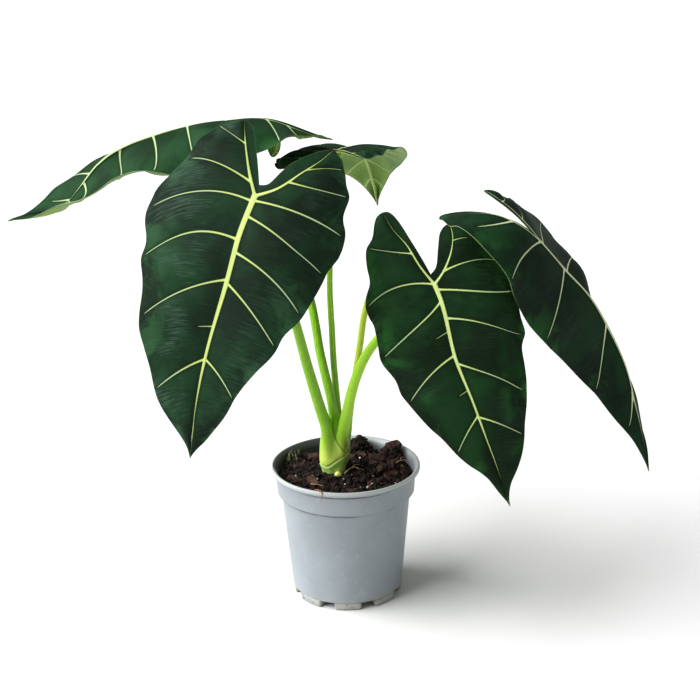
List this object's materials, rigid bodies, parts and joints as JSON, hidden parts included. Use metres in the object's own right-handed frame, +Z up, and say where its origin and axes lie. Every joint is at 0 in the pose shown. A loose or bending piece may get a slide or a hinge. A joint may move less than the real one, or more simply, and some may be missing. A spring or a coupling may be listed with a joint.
{
  "type": "potted alocasia",
  "caption": "Potted foliage plant: large arrow-shaped dark leaves with pale veins on arching stalks, growing from a sheathed stem in a round tapered nursery pot of peat and bark.",
  "frame": {"origin": "middle of the pot's underside, in the plane of the feet", "axes": "+Z up along the pot's axis, +X towards the leaf that arches furthest out on its own side, -Y towards the pair of hanging front leaves"},
  "size_m": [0.5023, 0.2843, 0.3976],
  "materials": {
    "pot_plastic": "moulded blue-grey polypropylene, satin, lightly scuffed",
    "peat_and_bark": "damp peat with bark chips and a few white grains",
    "stem_skin": "smooth waxy yellow-green skin",
    "leaf_blade": "dark velvety upper side with pale raised veins, lighter matt underside"
  },
  "bodies": {
    "root": {"pot": "pot_plastic", "soil": "peat_and_bark", "stem_base": "stem_skin", "petiole_front_left": "stem_skin", "blade_front_left": "leaf_blade", "petiole_front_right": "stem_skin", "blade_front_right": "leaf_blade", "petiole_right": "stem_skin", "blade_right": "leaf_blade", "petiole_left": "stem_skin", "blade_left": "leaf_blade", "petiole_rear": "stem_skin", "blade_rear": "leaf_blade"}
  },
  "joints": []
}
